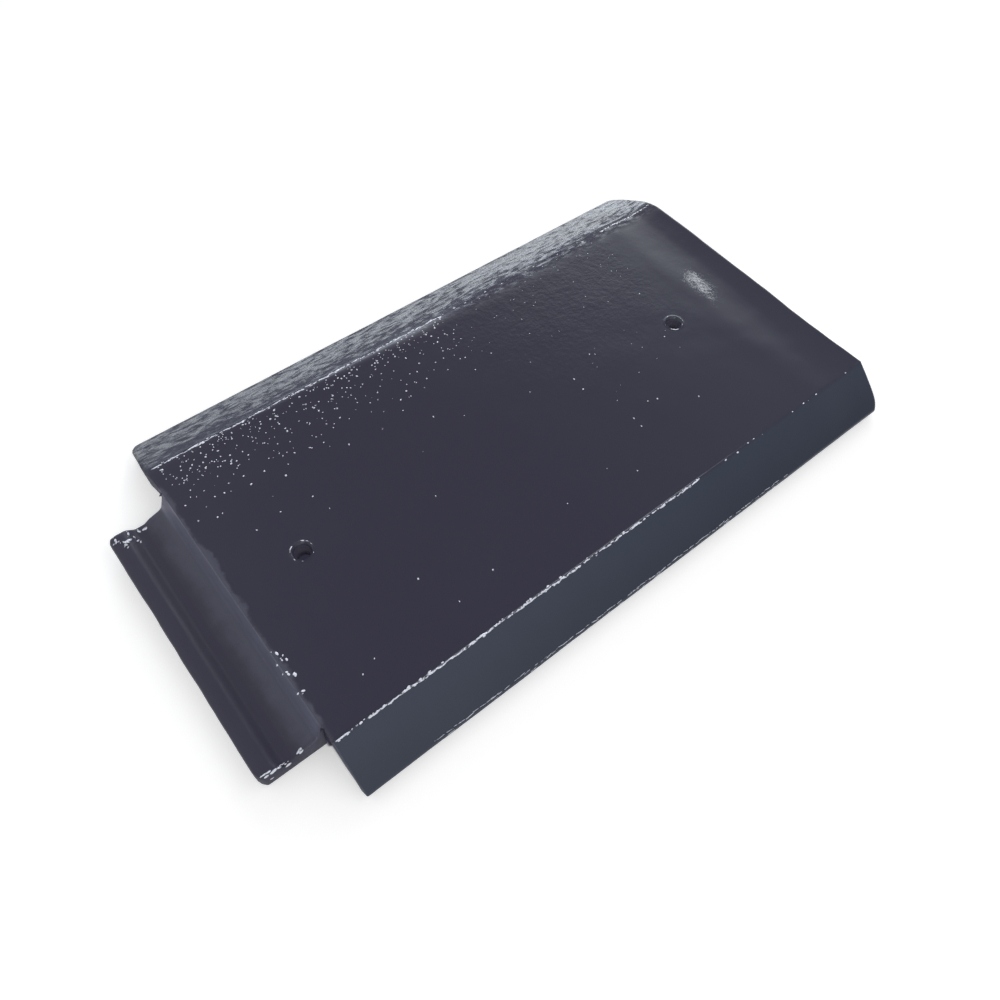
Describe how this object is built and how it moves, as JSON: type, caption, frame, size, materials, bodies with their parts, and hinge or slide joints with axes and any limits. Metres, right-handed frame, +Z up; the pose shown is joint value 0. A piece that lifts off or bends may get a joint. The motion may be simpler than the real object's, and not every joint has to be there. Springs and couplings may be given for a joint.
{
  "type": "ridge tile",
  "caption": "Glazed clay ridge tile with a flat top, two sloping aprons, a stepped lapping tongue with a water-bar rib, and nail holes on its centre line.",
  "frame": {"origin": "middle of the tile in plan, at the level of the strips that the aprons stand on", "axes": "+X runs along the ridge from the tongue to the head end, +Z is up, +Y points across to the wider apron"},
  "size_m": [0.428, 0.2544, 0.0308],
  "materials": {
    "glaze": "glossy blue-black glaze over fired clay, with a fine orange-peel surface"
  },
  "bodies": {
    "root": {"ridge_tile": "glaze"}
  },
  "joints": []
}
